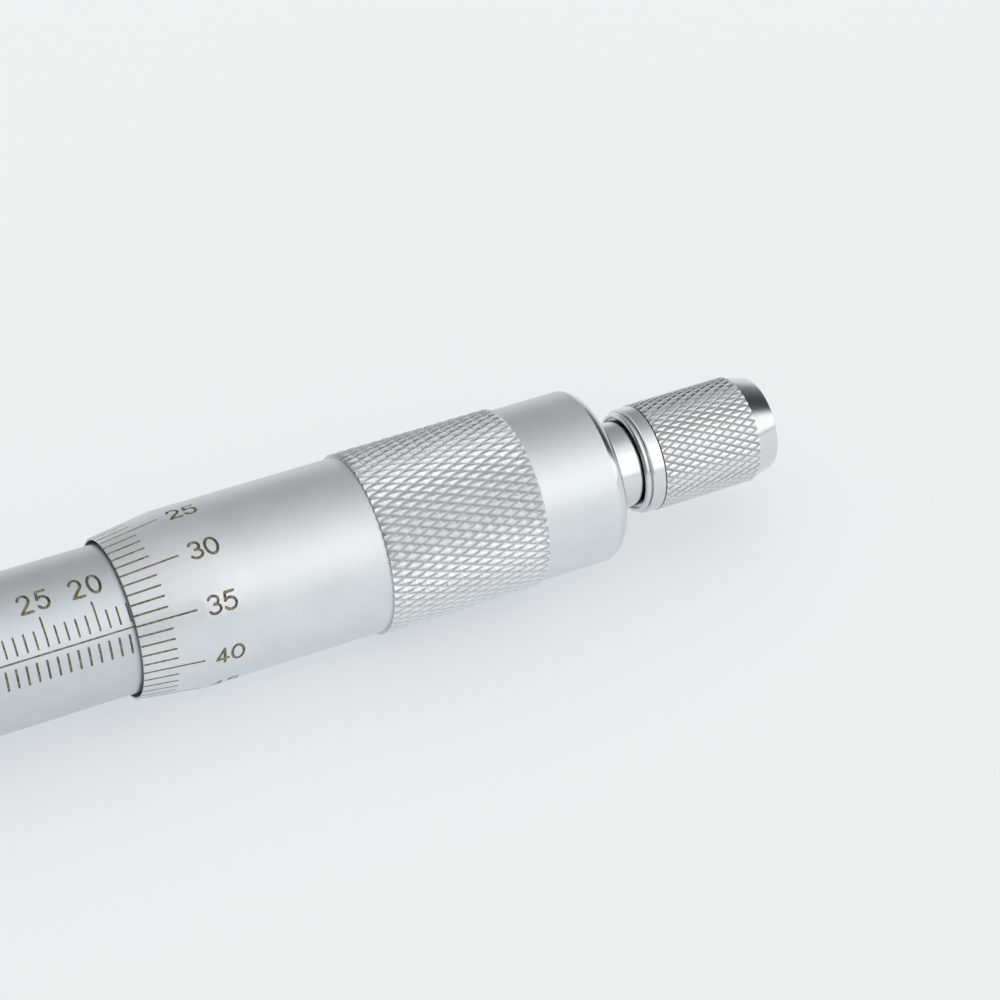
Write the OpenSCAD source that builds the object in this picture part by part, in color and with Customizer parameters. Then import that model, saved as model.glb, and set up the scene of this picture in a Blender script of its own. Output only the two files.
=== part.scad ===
/* [Scale and thread] */
// Smallest size that the jaws measure
range_min = 5; // [4:0.5:8]
// Largest size that the jaws measure
range_max = 30; // [25:1:32]
// Reading at which the tool is drawn
reading = 16.85; // [8:0.05:24]
// Pitch of the screw
screw_pitch = 0.5; // [0.25:0.25:1]
// Marks round the thimble
thimble_marks = 50; // [25:25:100]
// Angle of the scale from straight up, towards the reader
scale_roll = 59; // [45:1:70]
// Width of an engraved line
line_w = 0.15; // [0.1:0.01:0.25]
// Depth of an engraved line
line_depth = 0.1; // [0.05:0.01:0.2]

/* [Frame] */
// Diameter of the frame's collar and of the knurl peaks that it lies on
grip_d = 18.2; // [17.8:0.1:20]
// Length of the frame's collar
frame_len = 28; // [24:0.5:34]
// Chamfer on the collar's ends
frame_chamfer = 0.6; // [0.2:0.1:1]
// Depth of the inner sleeve's seat in the collar
seat_len = 12; // [8:0.5:14]

/* [Sleeve] */
// Outer diameter of the graduated sleeve
sleeve_d = 14.6; // [14:0.1:15]
// Bore of the graduated sleeve, on the inner sleeve
sleeve_bore = 12; // [11.4:0.1:12.4]
// Bare sleeve in front of the largest mark
scale_margin = 4.5; // [4:0.1:8]
// Sleeve behind the smallest mark
sleeve_tail = 8; // [6:0.5:9]
// Diameter of the spanner hole
spanner_d = 1.6; // [1:0.1:1.8]

/* [Jaws] */
// Distance of the jaw tips from the axis
jaw_reach = 31; // [26:0.5:40]
// Length of the slim tip
tip_len = 14; // [8:0.5:16]
// Play between the tips when they are closed
tip_play = 0.1; // [0.05:0.05:0.3]
// Radius of the measuring faces
tip_r = 2.2; // [1.6:0.1:2.4]
// Thickness of the jaw blades
blade_t = 4.4; // [3.5:0.1:4.6]
// Length of the fixed jaw's foot
foot_len = 14; // [12:0.5:15]
// Half width of the fixed jaw's foot
foot_half = 6.1; // [5.9:0.1:6.3]
// Height of the foot's seat above the axis
foot_seat = 6.5; // [6.2:0.1:6.6]
// Thickness of the foot
foot_t = 2.7; // [2.2:0.1:3.4]
// Diameter of the moving jaw's boss
boss_d = 16; // [15:0.2:17]
// Length of the moving jaw's boss in front of its measuring face
boss_front = 4.5; // [4:0.1:7]

/* [Spindle] */
// Diameter of the sliding spindle
spindle_d = 8; // [7.4:0.1:8.4]
// Diameter of the spindle's nose, in the moving jaw
nose_d = 6; // [5:0.1:6.4]
// Width of the guide key and its keyway
key_w = 2; // [1.6:0.1:2.4]
// Depth of the keyway
key_depth = 1.3; // [1:0.1:1.6]
// Diameter of the swivel's counterbore
swivel_d = 6.4; // [6:0.1:6.6]
// Diameter of the thrust ball
ball_d = 3; // [2.4:0.1:3.2]

/* [Screw and nut] */
// Diameter of the micrometer screw
screw_d = 6.6; // [6.2:0.1:7]
// Length of the split nut
nut_len = 13.5; // [11:0.5:14]
// Outer diameter of the split nut
nut_d = 10.4; // [9.6:0.1:11]
// Length of the adjusting nut
adjuster_len = 7; // [5:0.5:8]
// Outer diameter of the adjusting nut
adjuster_d = 13.2; // [12.4:0.1:14]

/* [Thimble] */
// Length of the thimble
thimble_len = 50.7; // [50:0.1:56]
// Outer diameter of the thimble
thimble_d = 17.5; // [17.2:0.1:17.6]
// Bore of the thimble
thimble_bore = 15.1; // [14.9:0.1:15.5]
// Diameter of the thimble's front lip
lip_d = 15.8; // [15.6:0.1:16.4]
// Length of the graduated bevel
bevel_len = 6.3; // [5:0.1:8]
// Start of the knurl behind the front edge
knurl_start = 25; // [20:0.1:28]
// Length of the knurl
knurl_len = 16.5; // [12:0.1:18]
// Knurl peaks round the thimble
knurl_count = 60; // [40:1:60]
// Rows of knurl peaks along the thimble
knurl_rows = 17; // [13:1:17]
// Depth of the knurl
knurl_depth = 0.32; // [0.2:0.01:0.4]
// Chamfer at the thimble's rear end
rear_chamfer = 1.25; // [0.6:0.05:1.6]
// Thickness of the thimble's rear wall
rear_wall = 4.7; // [4:0.1:5]

/* [Ratchet] */
// Diameter of the ratchet stem
stem_d = 8.8; // [8.4:0.1:9]
// Bare stem between the thimble and the knob
stem_show = 3.6; // [2.5:0.1:6]
// Length of the ratchet knob
knob_len = 15.2; // [14.6:0.1:20]
// Diameter over the knob's knurl
knob_d = 11; // [10.8:0.1:12]
// Length of the knob's plain collar
collar_len = 2; // [1.8:0.1:2.4]
// Length of the knob's knurl
knob_knurl_len = 10.5; // [9:0.1:10.6]
// Knurl peaks round the knob
knob_knurl_count = 42; // [30:1:48]
// Rows of knurl peaks along the knob
knob_knurl_rows = 12; // [8:1:14]
// Depth of the knob's knurl
knob_knurl_depth = 0.28; // [0.2:0.01:0.32]
// Diameter of the knob's end
knob_end_d = 9; // [8:0.1:9.6]
// Ratchet teeth
ratchet_teeth = 12; // [8:4:16]
// Height of a ratchet tooth
tooth_h = 0.6; // [0.4:0.05:0.8]
// Turns of the ratchet spring
spring_turns = 4; // [3:1:4]
// Wire of the ratchet spring
spring_wire = 0.6; // [0.4:0.05:0.7]

/* [Clamp] */
// Diameter of the lock screw's thread
lock_d = 3; // [2.5:0.1:3.4]
// Diameter of the lock screw's head
lock_head_d = 6; // [5.4:0.1:6.6]
// Flutes round the lock screw's head
lock_flutes = 18; // [12:2:24]
// Travel of the lock screw
lock_travel = 0.5; // [0.3:0.05:0.6]

/* [Clearances] */
// Radial play of a sliding fit
slide_play = 0.05; // [0.02:0.01:0.08]
// Gap between faces that pass each other
face_gap = 0.3; // [0.2:0.05:0.4]

/* [Hidden] */
$fn = 96;

satin = [0.78, 0.79, 0.80];
bright = [0.88, 0.89, 0.90];
steel = [0.62, 0.63, 0.65];
brass = [0.78, 0.62, 0.32];

// A small overlap for cuts that pass a face
cut = 1;
edge_chamfer = 0.3;

// Along the axis: the sleeve's front end is at 0 and the ratchet lies towards +X
travel = range_max - range_min;
to_max = range_max - reading;
to_min = reading - range_min;
thimble_x = scale_margin + to_max;
sleeve_len = scale_margin + travel + sleeve_tail;
frame_front = -frame_len;

// Jaws and spindle
tip_t = (range_min - tip_play) / 2;
fixed_face = frame_front + tip_t;
moving_face = fixed_face - reading;
jaw_roll = scale_roll - 90;
key_roll = scale_roll + 90;
lock_roll = scale_roll + 180;
boss_back = moving_face + tip_t - 2 * slide_play;
boss_start = moving_face - boss_front;
nose_end = boss_start;
root_top = jaw_reach - tip_len;
root_extra = 3.5;
foot_screw_d = 2;
foot_head_d = 3.2;
foot_head_h = 1.4;
foot_screw_len = 5.5;
foot_screw_y = (blade_t / 2 + foot_half) / 2;
foot_screw_x = [foot_head_d, foot_len - foot_head_d];
end_screw_d = 2.5;
end_screw_len = 3;
end_head_d = 8.8;
end_head_h = 1.5;
slot_w = 0.8;
slot_depth = 0.7;
jaw_pin_d = 1.5;
jaw_pin_len = sqrt(boss_d * boss_d - jaw_pin_d * jaw_pin_d);
jaw_pin_x = boss_back - jaw_pin_d - edge_chamfer;

// Guide key
key_inset = 10;
key_x = frame_front + key_inset;
key_thread_d = 3;
key_floor = spindle_d / 2 - key_depth;
key_tip_gap = 0.15;
key_tip = key_floor + key_tip_gap;
key_shoulder = spindle_d / 2 + 1;
key_sunk = 0.5;
key_top = grip_d / 2 - key_sunk;

// Screw, nut and swivel, from the thimble's place
nut_lap = 2;
nut_start = sleeve_len - nut_lap;
nut_end = nut_start + nut_len;
end_room = 1.2;
spindle_end = nut_start - to_min - end_room;
wall_x = thimble_x + thimble_len - rear_wall;
retainer_len = 2.9;
collar_t = 1.65;
swivel_gap = 0.1;
collar_end = spindle_end - retainer_len - swivel_gap;
collar_start = collar_end - collar_t;
ball_x = collar_start - slide_play - ball_d / 2;
pilot_d = 4;
pilot_nose_d = 2.4;
retainer_bore = pilot_d + 3 * slide_play;
swivel_collar_d = 5.2;
screw_start = spindle_end + face_gap + slide_play;
taper_d = 5.6;
taper_short = 0.7;
taper_end = thimble_x + thimble_len - taper_short;
split_w = 0.5;
split_len = nut_len - 2 * nut_lap;
adjuster_x = nut_end - adjuster_len - nut_lap;
notch_w = 1.6;
notch_depth = 0.8;

// Ratchet
stem_x = thimble_x + thimble_len;
stem_thread_d = 3.2;
stem_thread_len = 7;
knob_x = stem_x + stem_show;
knob_end = knob_x + knob_len;
tooth_base = knob_x + collar_len - tooth_h;
tooth_top = tooth_base + tooth_h;
mouth_d = 9.5;
mouth_depth = 0.9;
post_d = 3.8;
tooth_root = 0.7;
tooth_in = post_d / 2 + tooth_root;
tooth_share = 0.88;
tooth_w = tooth_share * 2 * PI * tooth_in / ratchet_teeth;
tooth_out = sqrt(stem_d * stem_d / 4 - tooth_w * tooth_w) - slide_play;
pawl_t = 2.6;
pawl_end = tooth_top + pawl_t;
inner_wall_t = 1.9;
end_sink = 3.1;
cavity_end = knob_end - end_sink - inner_wall_t;
post_end = knob_end - end_sink + slide_play;
ratchet_screw_d = 2;
ratchet_screw_len = 6;
ratchet_head_d = 5.2;
ratchet_head_h = 1.5;
sink_d = ratchet_head_d + 2 * face_gap;
spring_d = 6.2;
spring_sides = 8;
spring_steps = 16;
bore_r = stem_d / 2 + slide_play;
post_hole_r = post_d / 2 + slide_play;
knob_knurl_x = knob_x + collar_len;
cone_x = knob_knurl_x + knob_knurl_len;

// Knurl ends
knurl_slope = 0.4;
knurl_stub = 0.8;

// Clamp
lock_inset = 8;
lock_x = frame_front + lock_inset;
lock_reach = (grip_d / 2 - lock_head_d / 2 * sin(scale_roll)) / cos(scale_roll) + edge_chamfer;
lock_gap = 0.2;
lock_under = grip_d / 2 + lock_travel + lock_gap;
pad_in = spindle_d / 2 + lock_travel + slide_play;
pad_t = 1.2;
flute_d = 0.6;

// Scale marks, as angles from the datum line
mark_near = 4.5;
mark_short = 17;
mark_long = 25.5;
half_near = 5.5;
half_far = 18.5;
function mark_place(mm) = scale_margin + range_max - mm;
mark_angle = 360 / thimble_marks;
thimble_value = (reading % screw_pitch) / screw_pitch * thimble_marks;
bevel_angle = atan((thimble_d - lip_d) / 2 / bevel_len);
short_mark = 3.25;
long_mark = 5.7;

// The tool lies on z = 0, with the middle of its outline at the origin
x_low = boss_start - end_head_h;
x_high = knob_end;
y_low = -grip_d / 2;
y_high = (jaw_reach - edge_chamfer) * -sin(jaw_roll) + tip_r * cos(jaw_roll);
origin_shift = [-(x_low + x_high) / 2, -(y_low + y_high) / 2, grip_d / 2];

// A shape at its place in the finished tool
module placed() {
    translate(origin_shift)
        children();
}

// A shape that points up, turned about the tool's axis
module clocked(angle) {
    rotate([angle, 0, 0])
        children();
}

// A round bar along the axis
module bar(x0, x1, d) {
    translate([x0, 0, 0])
        rotate([0, 90, 0])
            cylinder(h = x1 - x0, d = d);
}

// A turned shape about the axis from [radius, x] points
module turned(points) {
    rotate([0, 90, 0])
        rotate_extrude()
            polygon(points);
}

// A round peg that stands out from the axis at x
module peg(x, from, to, d) {
    translate([x, 0, from])
        cylinder(h = to - from, d = d);
}

// A solid drum with a diamond knurl: pyramids between two crossing sets of grooves.
// Its ends slope down to a stub that goes into the plain parts on both sides.
module knurl_drum(x0, len, d, depth, count, rows) {
    cols = 2 * count;
    first = x0 + knurl_slope;
    step = (len - 2 * knurl_slope) / rows;
    function corner(i, j) = j * cols + (i + cols) % cols;
    function radius(i, j) = d / 2 - ((i + j) % 2 == 0 ? depth : 0);
    function ring(x, r) = [for (i = [0:cols - 1]) let (a = i * 360 / cols) [x, r * cos(a), r * sin(a)]];
    stub = d / 2 - knurl_stub;
    knurled = [for (j = [0:rows]) for (i = [0:cols - 1])
        let (a = i * 360 / cols, r = radius(i, j))
        [first + j * step, r * cos(a), r * sin(a)]];
    points = concat(knurled, ring(x0 - knurl_slope, stub), ring(x0 + len + knurl_slope, stub));
    near = rows + 1;
    far = rows + 2;
    ends = [[for (i = [0:cols - 1]) corner(i, near)], [for (i = [cols - 1:-1:0]) corner(i, far)]];
    slopes = [for (i = [0:cols - 1]) for (tri = [
        [corner(i, near), corner(i, 0), corner(i + 1, 0)],
        [corner(i, near), corner(i + 1, 0), corner(i + 1, near)],
        [corner(i, far), corner(i + 1, rows), corner(i, rows)],
        [corner(i, far), corner(i + 1, far), corner(i + 1, rows)]]) tri];
    rear_sides = [for (j = [0:rows - 1]) for (i = [0:cols - 1]) if ((i + j) % 2 == 1)
        for (tri = [[corner(i, j), corner(i, j + 1), corner(i + 1, j)],
            [corner(i, j), corner(i - 1, j), corner(i, j + 1)]]) tri];
    front_sides = [for (j = [1:rows]) for (i = [0:cols - 1]) if ((i + j) % 2 == 1)
        for (tri = [[corner(i, j), corner(i + 1, j), corner(i, j - 1)],
            [corner(i, j), corner(i, j - 1), corner(i - 1, j)]]) tri];
    polyhedron(points, concat(ends, slopes, rear_sides, front_sides));
}

// An engraved line round the sleeve at x, between two angles from the datum line
module ring_mark(x, from, to) {
    translate([x - line_w / 2, 0, 0])
        clocked(scale_roll + from)
            rotate([0, 90, 0])
                rotate([0, 0, 180])
                    rotate_extrude(angle = to - from)
                        translate([sleeve_d / 2 - line_depth, 0])
                            square([line_depth + cut, line_w]);
}

// An engraved line along the thimble's bevel, cut to its slope
module bevel_mark(len) {
    translate([thimble_x, 0, lip_d / 2])
        rotate([0, -bevel_angle, 0])
            translate([-cut, -line_w / 2, -line_depth])
                cube([len + cut, line_w, line_depth + cut]);
}

// The ratchet's ring of saw teeth, each steep on one side and sloping on the other
module saw_teeth(from, to, play, r_out) {
    for (k = [0:ratchet_teeth - 1])
        clocked(k * 360 / ratchet_teeth)
            translate([0, 0, tooth_in + play])
                linear_extrude(r_out - tooth_in - play)
                    polygon([[from, play], [from, tooth_w - play], [to, play]]);
}

// Round collar that everything is carried by
module frame_body() {
    r = grip_d / 2;
    c = frame_chamfer;
    color(satin)
        difference() {
            turned([[0, frame_front], [r - c, frame_front], [r, frame_front + c], [r, -c],
                [r - c, 0], [0, 0]]);
            bar(frame_front - cut, cut, spindle_d + 2 * slide_play);
            bar(-seat_len, cut, sleeve_bore);
            clocked(jaw_roll) {
                translate([frame_front - cut, -r, foot_seat])
                    cube([foot_len + cut, 2 * r, r]);
                fixed_jaw_screw_places()
                    peg(0, foot_seat - foot_screw_len + foot_t, foot_seat + cut, foot_screw_d);
            }
            clocked(key_roll)
                peg(key_x, 0, r + cut, key_thread_d);
            clocked(lock_roll)
                peg(lock_x, 0, r + cut, lock_d);
        }
}

// Where the fixed jaw's screws stand on its foot
module fixed_jaw_screw_places() {
    for (x = foot_screw_x)
        for (side = [-1, 1])
            translate([frame_front + x, side * foot_screw_y, 0])
                children();
}

// A slim jaw tip with a round measuring face on one side, from the root to the reach
module jaw_tip(face, side) {
    c = edge_chamfer;
    intersection() {
        translate([face + side * tip_r, 0, root_top - cut])
            rotate_extrude()
                polygon([[0, 0], [tip_r, 0], [tip_r, tip_len + cut - c],
                    [tip_r - c, tip_len + cut], [0, tip_len + cut]]);
        translate([side > 0 ? face : face - tip_t, -tip_r, root_top - cut])
            cube([tip_t, 2 * tip_r, tip_len + 2 * cut]);
    }
}

// A jaw root in the plane of the axis, which narrows to the slim tip
module jaw_root(face, side, low) {
    back = face + side * tip_t;
    wide = face - side * root_extra;
    translate([0, blade_t / 2, 0])
        rotate([90, 0, 0])
            linear_extrude(blade_t)
                polygon([[back, low], [wide, low], [wide, root_top - 2 * root_extra],
                    [face - side * edge_chamfer, root_top], [back, root_top]]);
}

// Jaw on the frame, measuring on its side towards the thimble
module fixed_jaw() {
    color(bright)
        clocked(jaw_roll)
            difference() {
                union() {
                    jaw_tip(fixed_face, -1);
                    jaw_root(fixed_face, -1, foot_seat);
                    translate([frame_front, -foot_half, foot_seat])
                        cube([foot_len, 2 * foot_half, foot_t]);
                }
                fixed_jaw_screw_places() {
                    peg(0, foot_seat - cut, foot_seat + foot_t + cut, foot_screw_d);
                    peg(0, foot_seat + foot_t - foot_head_h, foot_seat + foot_t + cut, foot_head_d);
                }
            }
}

// Four screws that hold the fixed jaw's foot
module fixed_jaw_screws() {
    top = foot_seat + foot_t;
    color(steel)
        clocked(jaw_roll)
            fixed_jaw_screw_places()
                difference() {
                    union() {
                        peg(0, top - foot_screw_len, top - foot_head_h, foot_screw_d);
                        peg(0, top - foot_head_h, top - edge_chamfer, foot_head_d);
                    }
                    translate([0, 0, top])
                        cube([slot_w / 2, foot_head_d + cut, 2 * slot_depth], center = true);
                }
}

// Tube in the frame that ends in the split nut
module inner_sleeve() {
    c = edge_chamfer;
    color(steel)
        difference() {
            turned([[0, -seat_len], [sleeve_bore / 2, -seat_len], [sleeve_bore / 2, sleeve_len],
                [nut_d / 2, sleeve_len], [nut_d / 2, nut_end - c], [nut_d / 2 - c, nut_end],
                [0, nut_end]]);
            bar(-seat_len - cut, nut_start, spindle_d + 2 * slide_play);
            bar(nut_start - cut, nut_end + cut, screw_d + 2 * slide_play);
            for (turn = [0, 90])
                clocked(turn)
                    translate([nut_end - split_len, -split_w / 2, -nut_d])
                        cube([split_len + cut, split_w, 2 * nut_d]);
        }
}

// Sleeve with the scale: whole millimetres above the datum line and halves below it
module graduated_sleeve() {
    color(satin)
        difference() {
            bar(0, sleeve_len, sleeve_d);
            bar(-cut, sleeve_len + cut, sleeve_bore);
            for (mm = [ceil(range_min):range_max])
                ring_mark(mark_place(mm), mm % 5 == 0 ? -mark_long : -mark_short, -mark_near);
            for (mm = [ceil(range_min):range_max - 1])
                ring_mark(mark_place(mm + 1 / 2), half_near, half_far);
            clocked(scale_roll)
                translate([-cut, -line_w / 2, sleeve_d / 2 - line_depth])
                    cube([scale_margin + travel + 2 * cut, line_w, line_depth + cut]);
            clocked(lock_roll)
                peg(scale_margin / 2, 0, sleeve_d, spanner_d);
        }
}

// Notched ring that closes the split nut
module adjusting_nut() {
    color(steel)
        difference() {
            bar(adjuster_x, adjuster_x + adjuster_len, adjuster_d);
            bar(adjuster_x - cut, adjuster_x + adjuster_len + cut, nut_d);
            for (turn = [0:90:270])
                clocked(turn + 45)
                    translate([adjuster_x + adjuster_len / 2, -notch_w / 2, adjuster_d / 2 - notch_depth])
                        cube([adjuster_len, notch_w, adjuster_d]);
        }
}

// Screw whose pin point runs in the spindle's keyway
module guide_key() {
    color(steel)
        clocked(key_roll)
            difference() {
                union() {
                    peg(key_x, key_tip, key_shoulder, key_w);
                    peg(key_x, key_shoulder, key_top, key_thread_d);
                }
                translate([key_x, 0, key_top])
                    cube([slot_w / 2, key_thread_d + cut, 2 * slot_depth], center = true);
            }
}

// Ground rod that slides in the frame, with a nose for the jaw and a seat for the swivel
module spindle() {
    c = edge_chamfer;
    r = spindle_d / 2;
    color(bright)
        difference() {
            turned([[0, nose_end], [nose_d / 2, nose_end], [nose_d / 2, boss_back], [r - c, boss_back],
                [r, boss_back + c], [r, spindle_end - c], [r - c, spindle_end], [0, spindle_end]]);
            bar(ball_x, spindle_end + cut, swivel_d);
            bar(ball_x - ball_d / 2, ball_x + cut, ball_d + 2 * slide_play);
            bar(nose_end - cut, nose_end + end_screw_len, end_screw_d);
            clocked(jaw_roll)
                cross_bar(boss_d);
            clocked(key_roll)
                translate([key_x - to_min - key_w, -key_w / 2 - slide_play, key_floor])
                    cube([travel + 2 * key_w, key_w + 2 * slide_play, r]);
        }
}

// A round bar across the jaw's boss and the spindle's nose
module cross_bar(len) {
    translate([jaw_pin_x, 0, 0])
        rotate([90, 0, 0])
            cylinder(h = len, d = jaw_pin_d, center = true);
}

// Jaw on the spindle's nose, measuring on its side away from the thimble
module movable_jaw() {
    c = frame_chamfer;
    r = boss_d / 2;
    color(bright)
        difference() {
            union() {
                turned([[0, boss_start], [r - c, boss_start], [r, boss_start + c], [r, boss_back - c],
                    [r - c, boss_back], [0, boss_back]]);
                clocked(jaw_roll) {
                    jaw_tip(moving_face, 1);
                    jaw_root(moving_face, 1, nose_d / 2);
                }
            }
            bar(boss_start - cut, boss_back + cut, nose_d);
            clocked(jaw_roll)
                cross_bar(boss_d + cut);
        }
}

// Screw on the spindle's end that holds the moving jaw
module jaw_end_screw() {
    c = edge_chamfer;
    head = boss_start - end_head_h;
    color(steel)
        difference() {
            turned([[0, head], [end_head_d / 2 - c, head], [end_head_d / 2, head + c],
                [end_head_d / 2, boss_start], [end_screw_d / 2, boss_start],
                [end_screw_d / 2, boss_start + end_screw_len], [0, boss_start + end_screw_len]]);
            clocked(jaw_roll)
                translate([head, 0, 0])
                    cube([2 * slot_depth, end_head_d + cut, slot_w], center = true);
        }
}

// Cross pin
module jaw_pin() {
    color(steel)
        clocked(jaw_roll)
            cross_bar(jaw_pin_len);
}

// Ring in the spindle's end that holds the swivel's collar
module swivel_retainer() {
    color(steel)
        difference() {
            bar(spindle_end - retainer_len, spindle_end, swivel_d);
            bar(spindle_end - retainer_len - cut, spindle_end + cut, retainer_bore);
        }
}

// Ball that the screw pushes on
module thrust_ball() {
    color(bright)
        translate([ball_x, 0, 0])
            sphere(d = ball_d);
}

// Screw that drives the spindle and carries the thimble on its taper
module micrometer_screw() {
    color(steel)
        difference() {
            turned([[0, collar_start], [pilot_nose_d / 2, collar_start], [pilot_nose_d / 2, collar_end],
                [pilot_d / 2, collar_end], [pilot_d / 2, screw_start], [screw_d / 2, screw_start],
                [screw_d / 2, wall_x], [taper_d / 2, taper_end], [0, taper_end]]);
            bar(stem_x - stem_thread_len, stem_x + cut, stem_thread_d);
        }
}

// Collar on the screw's pilot, behind the retainer
module swivel_collar() {
    color(steel)
        difference() {
            bar(collar_start, collar_end, swivel_collar_d);
            bar(collar_start - cut, collar_end + cut, pilot_nose_d);
        }
}

// Graduated shell that the fingers turn
module thimble() {
    x = thimble_x;
    r = thimble_d / 2;
    c = rear_chamfer;
    knurl_x = x + knurl_start;
    band_x = knurl_x + knurl_len;
    end = x + thimble_len;
    color(satin)
        difference() {
            union() {
                difference() {
                    turned([[0, x], [lip_d / 2, x], [r, x + bevel_len], [r, knurl_x], [0, knurl_x]]);
                    for (k = [0:thimble_marks - 1])
                        clocked(scale_roll + (k - thimble_value) * mark_angle)
                            bevel_mark(k % 5 == 0 ? long_mark : short_mark);
                }
                knurl_drum(knurl_x, knurl_len, grip_d, knurl_depth, knurl_count, knurl_rows);
                turned([[0, band_x], [r, band_x], [r, end - c], [r - c, end], [0, end]]);
            }
            bar(x - cut, wall_x, thimble_bore);
            turned([[0, wall_x - cut], [screw_d / 2, wall_x - cut], [screw_d / 2, wall_x],
                [taper_d / 2, taper_end], [taper_d / 2, end + cut], [0, end + cut]]);
        }
}

// Bright stem behind the thimble, with the ratchet's fixed teeth and the knob's post
module ratchet_stem() {
    color(bright)
        difference() {
            union() {
                bar(stem_x - stem_thread_len + edge_chamfer, stem_x, stem_thread_d);
                bar(stem_x, tooth_top, stem_d);
                bar(tooth_top, post_end, post_d);
            }
            bar(post_end - ratchet_screw_len, post_end + cut, ratchet_screw_d);
            saw_teeth(tooth_top + slide_play, tooth_base, 0, stem_d / 2 + cut);
        }
}

// Toothed ring that the spring pushes on to the stem
module ratchet_pawl() {
    face = tooth_top + slide_play;
    color(steel)
        difference() {
            union() {
                bar(face, pawl_end, stem_d);
                saw_teeth(face + slide_play, tooth_base + 2 * slide_play, slide_play, tooth_out);
            }
            bar(tooth_base - cut, pawl_end + cut, post_d + 2 * slide_play);
        }
}

// Spring between the pawl and the knob's inner wall, as a swept coil
module ratchet_spring() {
    free = cavity_end - pawl_end - spring_wire;
    steps = spring_turns * spring_steps;
    r = spring_d / 2;
    function spot(i, k) = let (
        turn = i * 360 / spring_steps,
        way = k * 360 / spring_sides,
        rr = r + spring_wire / 2 * cos(way))
        [pawl_end + spring_wire / 2 + free * i / steps + spring_wire / 2 * sin(way),
            rr * cos(turn), rr * sin(turn)];
    points = [for (i = [0:steps]) for (k = [0:spring_sides - 1]) spot(i, k)];
    sides = [for (i = [0:steps - 1]) for (k = [0:spring_sides - 1])
        let (n = (k + 1) % spring_sides)
        for (half = [0, 1]) half == 0
            ? [i * spring_sides + k, (i + 1) * spring_sides + k, (i + 1) * spring_sides + n]
            : [i * spring_sides + k, (i + 1) * spring_sides + n, i * spring_sides + n]];
    near = [[for (k = [0:spring_sides - 1]) k]];
    far = [[for (k = [spring_sides - 1:-1:0]) steps * spring_sides + k]];
    color(steel)
        polyhedron(points, concat(near, far, sides));
}

// Knurled knob of the ratchet stop
module ratchet_knob() {
    c = edge_chamfer;
    r = knob_d / 2 - knob_knurl_depth / 2;
    end_r = knob_end_d / 2;
    color(bright)
        difference() {
            union() {
                turned([[0, knob_x], [r - 2 * c, knob_x], [r, knob_x + 2 * c], [r, knob_knurl_x],
                    [0, knob_knurl_x]]);
                knurl_drum(knob_knurl_x, knob_knurl_len, knob_d, knob_knurl_depth, knob_knurl_count,
                    knob_knurl_rows);
                turned([[0, cone_x], [r, cone_x], [end_r + c, knob_end - c], [end_r, knob_end],
                    [0, knob_end]]);
            }
            turned([[0, knob_x - cut], [mouth_d / 2, knob_x - cut], [mouth_d / 2, knob_x + mouth_depth],
                [bore_r, knob_x + mouth_depth], [bore_r, cavity_end], [post_hole_r, cavity_end],
                [post_hole_r, knob_end - end_sink], [sink_d / 2, knob_end - end_sink],
                [sink_d / 2, knob_end + cut], [0, knob_end + cut]]);
        }
}

// Screw in the stem's post that keeps the knob on
module ratchet_end_screw() {
    c = edge_chamfer;
    tip = post_end - ratchet_screw_len + c;
    top = post_end + ratchet_head_h;
    shank_r = ratchet_screw_d / 2;
    head_r = ratchet_head_d / 2;
    color(steel)
        difference() {
            turned([[0, tip], [shank_r, tip], [shank_r, post_end], [head_r, post_end],
                [head_r, top - c], [head_r - c, top], [0, top]]);
            translate([top, 0, 0])
                cube([2 * slot_depth, ratchet_head_d + cut, slot_w], center = true);
        }
}

// Soft pad between the lock screw and the spindle
module clamp_pad() {
    color(brass)
        clocked(lock_roll)
            peg(lock_x, pad_in, pad_in + pad_t, lock_d - 2 * slide_play);
}

// Fluted lock screw, which the tool leans on when it lies down
module lock_screw() {
    c = edge_chamfer;
    r = lock_head_d / 2;
    color(steel)
        clocked(lock_roll)
            translate([lock_x, 0, 0])
                difference() {
                    rotate_extrude()
                        polygon([[0, pad_in + pad_t], [lock_d / 2 - slide_play, pad_in + pad_t],
                            [lock_d / 2 - slide_play, lock_under], [r - c, lock_under], [r, lock_under + c],
                            [r, lock_reach - c], [r - c, lock_reach], [0, lock_reach]]);
                    for (k = [0:lock_flutes - 1])
                        rotate([0, 0, k * 360 / lock_flutes])
                            translate([r + flute_d / 4, 0, lock_under - cut])
                                cylinder(h = lock_reach, d = flute_d);
                }
}

placed() frame_body();
placed() fixed_jaw();
placed() fixed_jaw_screws();
placed() inner_sleeve();
placed() graduated_sleeve();
placed() adjusting_nut();
placed() guide_key();
placed() spindle();
placed() movable_jaw();
placed() jaw_end_screw();
placed() jaw_pin();
placed() swivel_retainer();
placed() thrust_ball();
placed() micrometer_screw();
placed() swivel_collar();
placed() thimble();
placed() ratchet_stem();
placed() ratchet_end_screw();
placed() ratchet_knob();
placed() ratchet_pawl();
placed() ratchet_spring();
placed() clamp_pad();
placed() lock_screw();
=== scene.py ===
import math

import bmesh
import bpy
from mathutils import Matrix, Vector


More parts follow.
